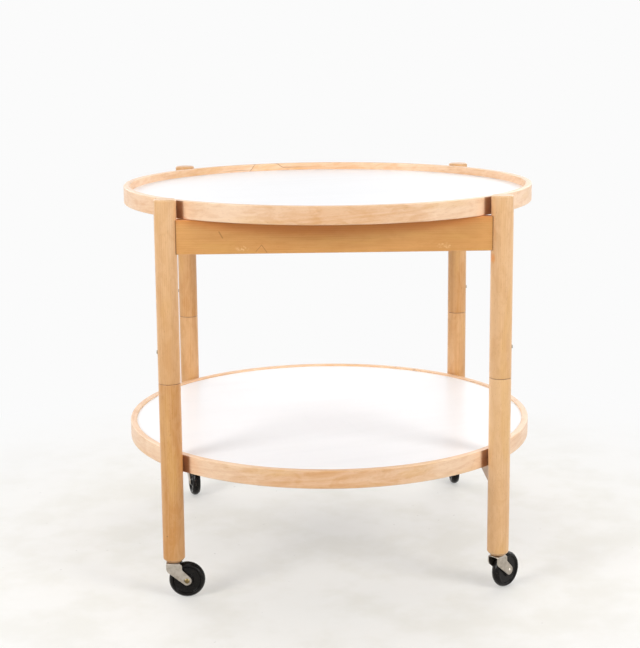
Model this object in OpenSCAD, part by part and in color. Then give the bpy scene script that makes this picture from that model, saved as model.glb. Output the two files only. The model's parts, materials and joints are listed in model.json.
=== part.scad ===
// Room service table: two round lift-off trays inside four round legs on swivel casters.
// Units are millimetres. The origin is on the floor under the middle of the table, +Z is up,
// +X is to the right and -Y is the front.

/* [Trays] */
// Outer diameter of each round tray
tray_d = 650; // [560:10:760]
// Height of a tray's wooden rim
rim_h = 26.5; // [22:0.5:34]
// Thickness of the wooden rim
rim_t = 10; // [8:0.5:16]
// Depth of the board below the rim on the tray's shallow side
shallow_recess = 2.5; // [2:0.5:5]
// Thickness of the tray board with its two laminates
board_t = 12; // [6:0.5:13]
// How far the board's core reaches into the rim's groove
groove_depth = 3; // [2:0.5:5]
// Thickness of one laminate
laminate_t = 0.8; // [0.5:0.1:1.5]
// Size of the bevel on the rim's edges
rim_bevel = 1.2; // [0.5:0.1:2]

/* [Legs] */
// Height of the leg tops above the floor
table_h = 600; // [560:5:680]
// Diameter of the round legs
leg_d = 32.5; // [29:0.5:40]
// Height of the joint between the upper and the lower half of a leg
split_z = 330; // [300:5:360]
// Gap between a tray's rim and each leg
tray_gap = 2.5; // [1:0.5:8]
// Size of the bevel round the foot of a leg
foot_bevel = 5; // [2:0.5:6]
// Size of the bevel round the top of a leg
top_bevel = 1.5; // [0.5:0.5:3]
// Size of the bevel at the joint between the leg halves
split_bevel = 0.6; // [0.3:0.1:1.5]

/* [Leg pivots] */
// Diameter of the pin that joins the two halves of a leg
pivot_d = 12; // [9:0.5:16]
// Length of the pin in the lower half of the leg
pivot_below = 45; // [30:5:60]
// Height of the locking screw above the joint
screw_rise = 46; // [35:1:52]
// Length of the pin above the locking screw
pivot_above_screw = 14; // [10:1:20]
// Diameter of the locking screw's shank
screw_d = 3.6; // [3:0.2:5]
// Diameter of the locking screw's head
screw_head_d = 6; // [5.5:0.5:7]
// How far the screw's head stands out of the leg
screw_head_h = 1.3; // [0.8:0.1:2]
// Extra width of the pin's groove beside the screw's tip
groove_play = 1.2; // [0.6:0.1:2]
// Depth of the pin's groove
groove_cut = 1.5; // [1:0.1:2]
// Size of the bevel on the pin's ends
pin_bevel = 1; // [0.5:0.1:2]

/* [Rails] */
// Thickness of all four rails
rail_t = 16; // [12:1:20]
// Height of the front and back rails, which carry the top tray
upper_rail_h = 50; // [40:1:70]
// Height of the side rails, which carry the lower tray
lower_rail_h = 38; // [30:1:60]
// Depth of the top tray's rim below the leg tops
top_drop = 3; // [1:0.5:8]
// Height of the lower tray's underside above the floor
lower_tray_z = 190.5; // [170:0.5:230]
// Size of the bevel along a rail's edges
rail_bevel = 1; // [0.5:0.1:2]
// Thickness of the tenon in each end of a rail
tenon_t = 8; // [6:0.5:9]
// Length of a tenon inside the rail
tenon_in_rail = 20; // [14:1:30]
// Length of a tenon inside the leg
tenon_in_leg = 10; // [7:0.5:12]
// Wood left above and below a tenon
tenon_shoulder = 7; // [5:0.5:10]

/* [Casters] */
// Diameter of a caster's wheel
wheel_d = 54; // [48:1:60]
// Width of a wheel's tread
tread_w = 14; // [10:0.5:15]
// Size of the rounding on the tread's edges
tread_round = 4; // [2:0.5:5]
// Depth of the recessed face between a wheel's ring and its hub
face_recess = 2.6; // [1:0.2:4]
// Distance from the swivel axis back to the wheel's axle
trail = 18.6; // [17:0.2:22]
// Gap between the wheel's top and the foot of the leg
leg_over_wheel = 2; // [2:0.5:6]
// Distance from the axle forward to the back edge of the fork's bridge, which clears the wheel
bridge_ahead = 10.6; // [9.6:0.2:12]
// Clear width between the fork's two cheeks
fork_gap = 15.5; // [15.5:0.5:20]
// Thickness of the fork's sheet
fork_t = 1.5; // [1:0.1:2]
// Length of the fork's cheek at its top
cheek_l = 23.6; // [22:0.2:28]
// Radius of the cheek's round end at the axle
cheek_end_r = 7; // [6:0.5:8.5]
// Radius of the cheek's rounded front corner
cheek_corner_r = 10; // [8:0.5:11]
// How far the corner's arc runs up past the top of the cheek
cheek_corner_rise = 2; // [1:0.5:3]
// Height of the upright back edge of the cheek
cheek_back_h = 11; // [8:0.5:13]
// Diameter of the wheel's axle
axle_d = 5; // [4:0.5:6]
// Diameter of the axle's riveted heads
rivet_d = 8; // [7:0.5:9]
// Height of a riveted head
rivet_h = 1.4; // [1:0.1:2]
// Diameter of the swivel stem
stem_d = 8; // [6:0.5:9]
// Length of the stem inside the leg
stem_l = 34; // [25:1:45]
// Wall of the sleeve that holds the stem in the leg
sleeve_wall = 1.5; // [1:0.1:2]
// Thickness of the collar between the leg and the fork
collar_t = 1; // [0.6:0.1:1.5]
// Width of the flange round the sleeve, and of the collar
flange_w = 3; // [2:0.5:4]
// Thickness of the sleeve's flange
flange_t = 1.2; // [1:0.1:2]
// How far the stem's head reaches out under the fork's bridge
stem_lip = 2; // [1.5:0.5:3]
// Thickness of the stem's head
stem_head_h = 1.3; // [1:0.1:1.6]
// Direction of the front left wheel, in degrees from +X
turn_front_left = 0; // [-180:1:180]
// Direction of the front right wheel
turn_front_right = 43; // [-180:1:180]
// Direction of the back left wheel
turn_back_left = -76; // [-180:1:180]
// Direction of the back right wheel
turn_back_right = 91; // [-180:1:180]

/* [Fits] */
// Gap in a glued or pressed joint
glue_gap = 0.05; // [0.02:0.01:0.1]
// Gap between two faces that meet at a visible joint
face_gap = 0.15; // [0.1:0.05:0.3]
// Gap between a tray and the rails it rests on
seat_gap = 0.3; // [0.2:0.1:0.5]
// Radial gap of a turning fit
turn_gap = 0.08; // [0.03:0.01:0.1]
// Gap beside a part that turns
side_gap = 0.25; // [0.2:0.05:0.3]

/* [Hidden] */
$fn = 96;

// A small overshoot, so that a cut runs clean through a face
cut = 1;

// The four corners: name, side in X, side in Y and the direction of the wheel
CORNERS = [
    ["front_left", -1, -1, turn_front_left],
    ["front_right", 1, -1, turn_front_right],
    ["back_left", -1, 1, turn_back_left],
    ["back_right", 1, 1, turn_back_right]
];

// Trays
tray_r = tray_d / 2;
deep_recess = rim_h - board_t - shallow_recess;
core_t = board_t - 2 * laminate_t - 2 * glue_gap;
core_r = tray_r - rim_t + groove_depth - glue_gap;
laminate_r = tray_r - rim_t - glue_gap;
top_tray_z = table_h - top_drop - rim_h;

// Legs
leg_r = leg_d / 2;
leg_offset = (tray_r + tray_gap + leg_r) / sqrt(2);
leg_bottom_z = wheel_d + leg_over_wheel;
lower_leg_top = split_z - face_gap / 2;
upper_leg_bottom = split_z + face_gap / 2;

// Leg pivots
pivot_r = pivot_d / 2;
pivot_bottom = split_z - pivot_below;
pivot_top = split_z + screw_rise + pivot_above_screw;
screw_z = split_z + screw_rise;
groove_w = screw_d + groove_play;
groove_r = pivot_r - groove_cut;

// Rails
upper_rail_top = top_tray_z - seat_gap;
lower_rail_top = lower_tray_z - seat_gap;
rail_cope_r = leg_r + face_gap;
tenon_inner = leg_offset - leg_r - tenon_in_rail;
tenon_outer = leg_offset - leg_r + tenon_in_leg;

// Casters
wheel_r = wheel_d / 2;
stem_r = stem_d / 2;
sleeve_r = stem_r + glue_gap + sleeve_wall;
flange_r = sleeve_r + flange_w;
fork_top = leg_bottom_z - collar_t;
fork_outer = fork_gap / 2 + fork_t;
bridge_back = trail - bridge_ahead;
stem_head_r = stem_r + stem_lip;
hub_w = fork_gap - 2 * side_gap;

// The wheel's ring and hub, as shares of its radius
ring_share = 0.79;
hub_share = 0.33;
ring_inner_r = wheel_r * ring_share;
hub_outer_r = wheel_r * hub_share;
// How far the recessed face's two walls lean
ring_lean = 1.5;
hub_lean = 2;

// Shapes that repeat

// A disc about the Z axis from z0 up by h
module disc(r, z0, h) {
    translate([0, 0, z0]) cylinder(r = r, h = h);
}

// A turned bar about the Z axis with a bevel at each end
module turned_bar(r, z0, z1, bevel0, bevel1) {
    rotate_extrude() polygon([
        [0, z0], [r - bevel0, z0], [r, z0 + bevel0],
        [r, z1 - bevel1], [r - bevel1, z1], [0, z1]
    ]);
}

// A bar along X whose four long edges are bevelled, from -half_l to half_l
module bevelled_bar(half_l, t, z0, z1, bevel) {
    translate([-half_l, 0, 0]) rotate([90, 0, 90]) linear_extrude(2 * half_l) polygon([
        [-t / 2 + bevel, z0], [t / 2 - bevel, z0], [t / 2, z0 + bevel], [t / 2, z1 - bevel],
        [t / 2 - bevel, z1], [-t / 2 + bevel, z1], [-t / 2, z1 - bevel], [-t / 2, z0 + bevel]
    ]);
}

// The middle of a tenon's space in a rail of height rail_h, wider by extra on every side
module tenon_block(rail_h, rail_top, extra) {
    tenon_h = rail_h - 2 * tenon_shoulder;
    translate([tenon_inner - extra, -tenon_t / 2 - extra, rail_top - tenon_shoulder - tenon_h - extra])
        cube([tenon_outer - tenon_inner + 2 * extra, tenon_t + 2 * extra, tenon_h + 2 * extra]);
}

// Both ends of a rail along X, each coped to its leg and mortised for its tenon
module rail(rail_h, rail_top) {
    difference() {
        bevelled_bar(leg_offset, rail_t, rail_top - rail_h, rail_top, rail_bevel);
        for (end = [0, 180]) rotate(end) {
            translate([leg_offset, 0, 0]) disc(rail_cope_r, rail_top - rail_h - cut, rail_h + 2 * cut);
            tenon_block(rail_h, rail_top, glue_gap);
        }
    }
}

// Puts a corner's own pieces at its leg's axis
module at_corner(c) {
    translate([c[1] * leg_offset, c[2] * leg_offset, 0]) children();
}

// Puts a caster's pieces under its leg, turned the way that its wheel trails
module at_caster(c) {
    at_corner(c) rotate(c[3]) children();
}

// Places a rail-end shape, made on the +X axis, at a corner of the upper rails
module at_upper_end(c) {
    translate([0, c[2] * leg_offset, 0]) rotate(c[1] > 0 ? 0 : 180) children();
}

// Places a rail-end shape, made on the +X axis, at a corner of the side rails
module at_lower_end(c) {
    translate([c[1] * leg_offset, 0, 0]) rotate(c[2] * 90) children();
}

// Frame

// Upper half of a leg, bored for its pivot pin, locking screw and tenon
module upper_leg(c) {
    color("#d9a566") difference() {
        at_corner(c) turned_bar(leg_r, upper_leg_bottom, table_h, split_bevel, top_bevel);
        at_corner(c) disc(pivot_r + turn_gap, split_z - cut, pivot_top + glue_gap - split_z + cut);
        at_corner(c) screw_hole(c);
        at_upper_end(c) tenon_block(upper_rail_h, upper_rail_top, glue_gap);
    }
}

// Lower half of a leg, bored for its pivot pin, tenon and caster sleeve
module lower_leg(c) {
    color("#d9a566") difference() {
        at_corner(c) turned_bar(leg_r, leg_bottom_z, lower_leg_top, foot_bevel, split_bevel);
        at_corner(c) disc(pivot_r + glue_gap, pivot_bottom - glue_gap, split_z + cut - pivot_bottom);
        at_corner(c) disc(sleeve_r + glue_gap, leg_bottom_z - cut, stem_l + glue_gap + cut);
        at_corner(c) disc(flange_r + glue_gap, leg_bottom_z - cut, flange_t + glue_gap + cut);
        at_lower_end(c) tenon_block(lower_rail_h, lower_rail_top, glue_gap);
    }
}

// The screw's hole runs from the leg's outer side in to the pin's bore
module screw_hole(c) {
    translate([0, 0, screw_z]) rotate([0, c[1] * 90, 0]) cylinder(d = screw_d + 2 * glue_gap, h = leg_r + cut);
}

// Pin that joins the halves of a leg, with a groove for the locking screw's tip
module pivot_pin(c) {
    color("#c8c8c8") at_corner(c) difference() {
        turned_bar(pivot_r, pivot_bottom, pivot_top, pin_bevel, pin_bevel);
        difference() {
            disc(pivot_r + cut, screw_z - groove_w / 2, groove_w);
            disc(groove_r, screw_z - groove_w / 2 - cut, groove_w + 2 * cut);
        }
    }
}

// Locking screw on the leg's outer side, with its tip in the pin's groove
module pivot_screw(c) {
    tip = groove_r + side_gap;
    color("#b5a888") at_corner(c) translate([0, 0, screw_z]) rotate([0, c[1] * 90, 0]) {
        translate([0, 0, tip]) cylinder(d = screw_d, h = leg_r + screw_head_h / 2 - tip);
        intersection() {
            translate([0, 0, leg_r - 1]) cylinder(d = screw_head_d, h = screw_head_h + 1);
            difference() {
                translate([0, 0, leg_r + screw_head_h / 2])
                    cube([screw_head_d + 1, screw_head_d + 1, screw_head_h + 2], center = true);
                rotate([0, 90, 0]) cylinder(r = leg_r + glue_gap, h = screw_head_d + 2, center = true);
            }
        }
    }
}

// Front or back rail, which carries the top tray and joins two upper legs
module upper_rail(side) {
    color("#dba970") translate([0, side * leg_offset, 0]) rail(upper_rail_h, upper_rail_top);
}

// Side rail, which carries the lower tray and joins two lower legs
module lower_rail(side) {
    color("#dba970") translate([side * leg_offset, 0, 0]) rotate(90) rail(lower_rail_h, lower_rail_top);
}

// Loose tenon in the end of an upper rail
module upper_tenon(c) {
    color("#c99a5c") at_upper_end(c) tenon_block(upper_rail_h, upper_rail_top, 0);
}

// Loose tenon in the end of a side rail
module lower_tenon(c) {
    color("#c99a5c") at_lower_end(c) tenon_block(lower_rail_h, lower_rail_top, 0);
}

// Casters

// Flanged sleeve pressed into the foot of a leg
module caster_sleeve(c) {
    color("#b8b4aa") at_corner(c) difference() {
        union() {
            disc(sleeve_r, leg_bottom_z, stem_l);
            disc(flange_r, leg_bottom_z, flange_t);
        }
        disc(stem_r + glue_gap, leg_bottom_z - cut, stem_l + 2 * cut);
    }
}

// Stem held in the sleeve, with the collar above the fork and the head under its bridge
module caster_stem(c) {
    head_top = fork_top - fork_t - side_gap;
    color("#bdbdbd") at_corner(c) {
        disc(stem_r, head_top - stem_head_h, leg_bottom_z + stem_l - head_top + stem_head_h);
        disc(stem_head_r, head_top - stem_head_h, stem_head_h);
        disc(flange_r, fork_top + side_gap, leg_bottom_z - fork_top - side_gap - glue_gap);
    }
}

// A point on a circle about centre c2 at an angle in degrees
function on_circle(centre, r, angle) = centre + r * [cos(angle), sin(angle)];
// The direction from a to b in degrees
function bearing(a, b) = atan2(b[1] - a[1], b[0] - a[0]);

// Outline of a fork's cheek: an upright root, a rounded front corner and a round end at the axle
module cheek_outline() {
    front = -cheek_l / 2;
    back = cheek_l / 2;
    axle = [trail, wheel_r];
    corner = [front + cheek_corner_r, fork_top - cheek_corner_r + cheek_corner_rise];
    waist = [back, fork_top - cheek_back_h];
    lower_turn = bearing(corner, axle) - acos((cheek_corner_r - cheek_end_r) / norm(axle - corner));
    upper_turn = bearing(axle, waist) - acos(cheek_end_r / norm(waist - axle));
    polygon([
        [front, fork_top], [back, fork_top], waist, on_circle(axle, cheek_end_r, upper_turn),
        on_circle(axle, cheek_end_r, lower_turn), on_circle(corner, cheek_corner_r, lower_turn),
        [front, corner[1]]
    ]);
    translate(axle) circle(cheek_end_r);
    intersection() {
        translate(corner) circle(cheek_corner_r);
        translate([front, fork_top - 3 * cheek_corner_r]) square([2 * cheek_corner_r, 3 * cheek_corner_r]);
    }
}

// Pressed fork: a bridge on the stem and a cheek on each side of the wheel
module caster_fork(c) {
    color("#b9b6ad") at_caster(c) difference() {
        union() {
            for (side = [-1, 1]) translate([0, side * (fork_gap + fork_t) / 2 + fork_t / 2, 0])
                rotate([90, 0, 0]) linear_extrude(fork_t) cheek_outline();
            translate([-cheek_l / 2, -fork_outer, fork_top - fork_t])
                cube([cheek_l / 2 + bridge_back, 2 * fork_outer, fork_t]);
        }
        disc(stem_r + turn_gap, fork_top - fork_t - cut, fork_t + 2 * cut);
        across_fork(axle_d / 2 + glue_gap, 2 * fork_outer + 2 * cut);
    }
}

// A round bar through the fork at the axle
module across_fork(r, l) {
    translate([trail, 0, wheel_r]) rotate([90, 0, 0]) cylinder(r = r, h = l, center = true);
}

// Axle riveted over both cheeks
module caster_axle(c) {
    color("#a08a58") at_caster(c) {
        across_fork(axle_d / 2, 2 * fork_outer + 2 * rivet_h);
        for (side = [-1, 1]) translate([trail, side * (fork_outer + glue_gap + rivet_h / 2), wheel_r])
            rotate([90, 0, 0]) cylinder(d = rivet_d, h = rivet_h, center = true);
    }
}

// Moulded wheel: a rounded tread, a recessed face and a hub, bored for the axle
module caster_wheel(c) {
    half_tread = tread_w / 2;
    half_face = half_tread - face_recess;
    bore_r = axle_d / 2 + turn_gap;
    color("#1c1c1c") at_caster(c) translate([trail, 0, wheel_r]) rotate([90, 0, 0]) rotate_extrude() {
        polygon([
            [bore_r, -hub_w / 2], [hub_outer_r, -hub_w / 2], [hub_outer_r + hub_lean, -half_face],
            [ring_inner_r - ring_lean, -half_face], [ring_inner_r, -half_tread], [wheel_r - tread_round, -half_tread],
            [wheel_r - tread_round / 3, -half_tread + tread_round / 3], [wheel_r, -half_tread + tread_round],
            [wheel_r, half_tread - tread_round], [wheel_r - tread_round / 3, half_tread - tread_round / 3],
            [wheel_r - tread_round, half_tread], [ring_inner_r, half_tread], [ring_inner_r - ring_lean, half_face],
            [hub_outer_r + hub_lean, half_face], [hub_outer_r, hub_w / 2], [bore_r, hub_w / 2]
        ]);
    }
}

// Trays. The top tray has its deep side up and the lower tray its shallow side up.

// Height of a tray board's underside for a tray that stands at z0
function board_z(z0, deep_up) = z0 + (deep_up ? shallow_recess : deep_recess);

// Wooden rim. The board's core sits in its groove, and the two laminates end at its inner face.
module tray_rim(z0, deep_up) {
    inner = tray_r - rim_t;
    groove = inner + groove_depth;
    low = board_z(z0, deep_up) + laminate_t;
    high = low + board_t - 2 * laminate_t;
    color("#e8bf90") rotate_extrude($fn = 240) polygon([
        [inner + rim_bevel, z0], [tray_r - rim_bevel, z0], [tray_r, z0 + rim_bevel],
        [tray_r, z0 + rim_h - rim_bevel], [tray_r - rim_bevel, z0 + rim_h], [inner + rim_bevel, z0 + rim_h],
        [inner, z0 + rim_h - rim_bevel], [inner, high], [groove, high], [groove, low], [inner, low],
        [inner, z0 + rim_bevel]
    ]);
}

// Core of the tray board
module tray_core(z0, deep_up) {
    color("#b08b62") disc(core_r, board_z(z0, deep_up) + laminate_t + glue_gap, core_t);
}

// White laminate on top of or under the core
module tray_laminate(z0, deep_up, up) {
    low = board_z(z0, deep_up);
    color("white") disc(laminate_r, up ? low + board_t - laminate_t : low, laminate_t);
}

for (c = CORNERS) {
    upper_leg(c);
    lower_leg(c);
    pivot_pin(c);
    pivot_screw(c);
    upper_tenon(c);
    lower_tenon(c);
    caster_sleeve(c);
    caster_stem(c);
    caster_fork(c);
    caster_axle(c);
    caster_wheel(c);
}
upper_rail(-1);  // upper_rail_front
upper_rail(1);  // upper_rail_back
lower_rail(-1);  // lower_rail_left
lower_rail(1);  // lower_rail_right
tray_rim(top_tray_z, true);  // top_tray_rim
tray_core(top_tray_z, true);  // top_tray_core
tray_laminate(top_tray_z, true, true);  // top_tray_laminate_up
tray_laminate(top_tray_z, true, false);  // top_tray_laminate_down
tray_rim(lower_tray_z, false);  // lower_tray_rim
tray_core(lower_tray_z, false);  // lower_tray_core
tray_laminate(lower_tray_z, false, true);  // lower_tray_laminate_up
tray_laminate(lower_tray_z, false, false);  // lower_tray_laminate_down
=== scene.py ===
# %% [markdown]
# # A round service table
# The frame of this lesson is a packed construction model: legs, rails, trays and casters, each
# a named node that moves with a named body. The lesson never moves those nodes. It gives them
# finishes, or stands a smoother piece in for them, so that wood, laminate and metal look real.

# %% Load the fixed frame
import json
import math

import bmesh
import bpy
import numpy as np
from mathutils import Matrix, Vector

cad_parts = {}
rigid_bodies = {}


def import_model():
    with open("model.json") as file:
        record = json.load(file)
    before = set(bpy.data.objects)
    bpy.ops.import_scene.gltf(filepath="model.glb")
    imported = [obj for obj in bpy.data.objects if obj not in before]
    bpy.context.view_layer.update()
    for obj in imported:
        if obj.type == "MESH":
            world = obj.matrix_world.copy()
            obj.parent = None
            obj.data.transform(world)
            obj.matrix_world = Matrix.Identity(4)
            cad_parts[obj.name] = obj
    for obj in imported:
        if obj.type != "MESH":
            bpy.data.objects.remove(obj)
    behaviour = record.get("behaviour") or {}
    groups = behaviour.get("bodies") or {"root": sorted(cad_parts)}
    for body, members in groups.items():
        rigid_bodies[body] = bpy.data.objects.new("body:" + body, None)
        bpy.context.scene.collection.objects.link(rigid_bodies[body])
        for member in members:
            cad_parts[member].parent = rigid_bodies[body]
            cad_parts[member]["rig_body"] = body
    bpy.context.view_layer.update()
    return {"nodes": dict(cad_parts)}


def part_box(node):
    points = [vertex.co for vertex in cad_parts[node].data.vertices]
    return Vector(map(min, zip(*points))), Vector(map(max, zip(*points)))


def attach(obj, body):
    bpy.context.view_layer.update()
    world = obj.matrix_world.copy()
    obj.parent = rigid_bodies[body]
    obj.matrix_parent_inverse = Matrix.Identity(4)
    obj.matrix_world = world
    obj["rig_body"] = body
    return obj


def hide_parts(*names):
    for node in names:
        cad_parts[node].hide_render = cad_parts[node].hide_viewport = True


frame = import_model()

# %% [markdown]
# ## Places taken from the frame
# A finish or a new piece has to sit exactly where the construction has it. Numbers could be typed
# again, but they would drift when the model changes, so the nodes' boxes are read.
# The legs stand at leg_reach from both middle planes. Pieces glued or pressed together
# keep a hair's gap, so that no two faces lie in one place. Everything is in metres.

# %% Read the places of the legs, the rails and the trays
CORNERS = ("front_left", "front_right", "back_left", "back_right")


def node_box(node):
    """The lowest and the highest corner of a node as two arrays, in metres."""
    low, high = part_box(node)
    return np.array(low), np.array(high)


def node_centre(node):
    """The middle of a node's box."""
    return sum(node_box(node)) / 2


leg_axis = {c: node_centre("upper_leg_" + c)[:2] for c in CORNERS}
leg_reach = float(leg_axis["front_right"][0])
leg_radius = float(node_box("upper_leg_front_left")[1][0] - leg_axis["front_left"][0])
tray_radius = float(node_box("top_tray_rim")[1][0])
rim_thickness = 0.010
HAIR_GAP = 0.00005
print("leg radius", round(leg_radius, 4), "tray radius", round(tray_radius, 4))

# %% [markdown]
# ## The camera
# The photograph was taken from a little above the tray, from more than two metres away. The lens
# and the place come from a fit of the trays' ellipses and the legs' edges. The picture was cropped
# off centre, and the lens shift stands for that crop.

# %% Set up the camera
CAMERA_PLACE = (-0.08941, -2.23552, 0.83821)
YAW_PITCH_ROLL = (0.03601, -0.16964, 0.00799)
FOCAL_PIXELS = 1396.72
IMAGE_SIZE = (640, 648)
OPTICAL_CENTRE = (322.67, 268.06)
SENSOR_MM = 36


def placed(name, data):
    """A new object in the scene."""
    thing = bpy.data.objects.new(name, data)
    bpy.context.scene.collection.objects.link(thing)
    return thing


def camera_axes(yaw, pitch, roll):
    """The camera's right, up and backward directions as the columns of a matrix.

    The view direction is (sin yaw cos pitch, cos yaw cos pitch, sin pitch). Right is level, and
    both right and down then turn together about the view direction by the roll."""
    ahead = np.array([
        math.sin(yaw) * math.cos(pitch), math.cos(yaw) * math.cos(pitch), math.sin(pitch)
    ])
    level = np.array([math.cos(yaw), -math.sin(yaw), 0.0])
    down = np.cross(ahead, level)
    right = math.cos(roll) * level + math.sin(roll) * down
    down = math.cos(roll) * down - math.sin(roll) * level
    return np.stack([right, -down, -ahead], axis=1)


camera_data = bpy.data.cameras.new("camera")
camera_data.sensor_width = SENSOR_MM
camera_data.lens = SENSOR_MM * FOCAL_PIXELS / max(IMAGE_SIZE)
camera_data.shift_x = (IMAGE_SIZE[0] / 2 - OPTICAL_CENTRE[0]) / max(IMAGE_SIZE)
camera_data.shift_y = (OPTICAL_CENTRE[1] - IMAGE_SIZE[1] / 2) / max(IMAGE_SIZE)
camera = placed("camera", camera_data)
camera.matrix_world = Matrix.Translation(CAMERA_PLACE) @ Matrix(
    camera_axes(*YAW_PITCH_ROLL).tolist()
).to_4x4()
bpy.context.scene.camera = camera
bpy.context.scene.view_settings.view_transform = "Standard"
print("lens", round(camera_data.lens, 2), "mm")

# %% [markdown]
# ## Surfaces from arrays
# Every new piece here is a grid of points: an outline carried along a path. numpy works out all
# the points at once, and one helper turns a grid into a mesh. An outline's corners are eased,
# because no real edge is perfectly sharp, and each point remembers how much it lies on an eased
# edge, so that a finish can be rubbed there.


# %% Ease the corners of an outline
def grid(*parts):
    """Points from their parts, such as x, y and z, each spread over the whole grid."""
    return np.stack(np.broadcast_arrays(*parts), axis=-1)


def eased(corners, cut, steps=6):
    """A closed outline with its corners eased, and how much each point lies on an edge, 0 to 1.

    At a corner P with unit directions a and b along its edges, the corner gives way to the curve
    (1-s)^2 (P + cut a) + 2 s (1-s) P + s^2 (P + cut b), for s from 0 to 1. Its points lie on
    the edge by 4 s (1-s)."""
    corners = np.asarray(corners, float)
    cut = np.broadcast_to(np.asarray(cut, float), len(corners))[:, None]
    before = np.roll(corners, 1, axis=0) - corners
    after = np.roll(corners, -1, axis=0) - corners
    before /= np.linalg.norm(before, axis=1, keepdims=True)
    after /= np.linalg.norm(after, axis=1, keepdims=True)
    s = np.linspace(0, 1, steps)[None, :, None]
    start = (corners + cut * before)[:, None]
    end = (corners + cut * after)[:, None]
    points = (1 - s) ** 2 * start + 2 * s * (1 - s) * corners[:, None] + s**2 * end
    edge = np.broadcast_to(4 * s * (1 - s) * (cut[:, None] > 0), points.shape[:2] + (1,))
    return points.reshape(-1, 2), edge.reshape(-1)


print("an eased square has", len(eased([(0, 0), (1, 0), (1, 1), (0, 1)], 0.1)[0]), "points")


# %% Add points along an outline
def densified(points, edge, gap):
    """The same closed outline with extra points, so that no stretch of it is longer than gap.

    Between two points P and Q the new ones are P + s (Q - P), with s in even steps."""
    following = np.roll(points, -1, axis=0)
    length = np.linalg.norm(following - points, axis=1)
    parts = np.maximum(1, np.ceil(length / gap)).astype(int)
    first = np.repeat(np.arange(len(points)), parts)
    share = (np.arange(len(first)) - np.repeat(np.cumsum(parts) - parts, parts)) / parts[first]
    filled = points[first] + share[:, None] * (following - points)[first]
    return filled, edge[first] + share * (np.roll(edge, -1) - edge)[first]


# %% Turn a grid of points into a mesh
MERGE_REACH = 1e-6


def surface(name, points, edge, uv=None, wrap_rows=False, sharp_deg=32):
    """A closed piece from a grid of points with shape (rows, columns, 3).

    The face at (i, j) joins the points (i, j), (i+1, j), (i+1, j+1) and (i, j+1), and the last
    column joins the first. Points that coincide are merged, so a ring that has shrunk to a point
    closes the surface, and the faces are then turned outwards."""
    rows, columns = points.shape[:2]
    i, j = np.meshgrid(np.arange(rows - (not wrap_rows)), np.arange(columns), indexing="ij")
    corners = [(i, j), (i + 1, j), (i + 1, j + 1), (i, j + 1)]
    quads = np.stack([(a % rows) * columns + b % columns for a, b in corners], axis=-1)
    mesh = bpy.data.meshes.new(name)
    mesh.from_pydata(points.reshape(-1, 3), [], quads.reshape(-1, 4))
    rubbed = mesh.attributes.new("edge", "FLOAT", "POINT")
    share = np.broadcast_to(edge, (rows, columns)).astype(np.float32)
    rubbed.data.foreach_set("value", share.ravel())
    if uv is not None:
        layer = mesh.uv_layers.new(name="along")
        spots = np.stack([uv[a, b] for a, b in corners], axis=-2)
        layer.data.foreach_set("uv", spots.astype(np.float32).ravel())
    work = bmesh.new()
    work.from_mesh(mesh)
    bmesh.ops.remove_doubles(work, verts=work.verts, dist=MERGE_REACH)
    bmesh.ops.recalc_face_normals(work, faces=work.faces)
    volume = work.calc_volume()
    work.to_mesh(mesh)
    work.free()
    mesh.polygons.foreach_set("use_smooth", np.ones(len(mesh.polygons), bool))
    mesh.set_sharp_from_angle(angle=math.radians(sharp_deg))
    print(f"{name}: {len(mesh.polygons)} faces, {volume * 1e6:.1f} cm3")
    return placed(name, mesh)


# %% Give a piece a value, a body and a finish
def spread(piece, name, formula):
    """Gives the points of a piece a value that a formula works out from their places."""
    place = np.zeros(len(piece.data.vertices) * 3)
    piece.data.vertices.foreach_get("co", place)
    layer = piece.data.attributes.new(name, "FLOAT", "POINT")
    layer.data.foreach_set("value", formula(place.reshape(-1, 3)).astype(np.float32))


def stand_for(piece, node, finish):
    """Puts a new piece in the place of a node: it rides on the node's body and wears a finish."""
    piece.data.materials.append(finish)
    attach(piece, frame["nodes"][node]["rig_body"])
    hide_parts(node)


# %% Turn a piece about an upright axis
def full_turn(steps):
    """A column of angles t = 2 pi k / steps, for k from 0 to steps - 1."""
    return np.linspace(0, 2 * math.pi, steps, endpoint=False)[:, None]


def turned(name, outline, edge, centre):
    """A turned piece about an upright axis: (cx + r cos t, cy + r sin t, z) for each (r, z)."""
    angle = full_turn(96)
    radius, height = outline.T
    x, y = centre[0] + radius * np.cos(angle), centre[1] + radius * np.sin(angle)
    return surface(name, grid(x, y, height), edge, wrap_rows=True)


# %% [markdown]
# ## Shader arithmetic
# A procedural finish is mostly sums: a grain mask times a strength, one minus a wear mask. Wiring
# nodes by hand hides that, so a small class lets Python's own operators add the Math nodes, and
# one more method adds any other kind.


# %% Wrap a node's output in a number-like value
def feed(tree, socket, value):
    """Links a value of the finish to a socket, or writes a plain number or colour into it."""
    if isinstance(value, Wire):
        tree.links.new(value.socket, socket)
    else:
        socket.default_value = value


def operator(operation, reflected=False):
    """A method that adds a Math node on the value itself and, if there is one, another."""
    def add_node(self, other=0.0):
        return self.maths(operation, *((other, self) if reflected else (self, other)))
    return add_node


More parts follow.
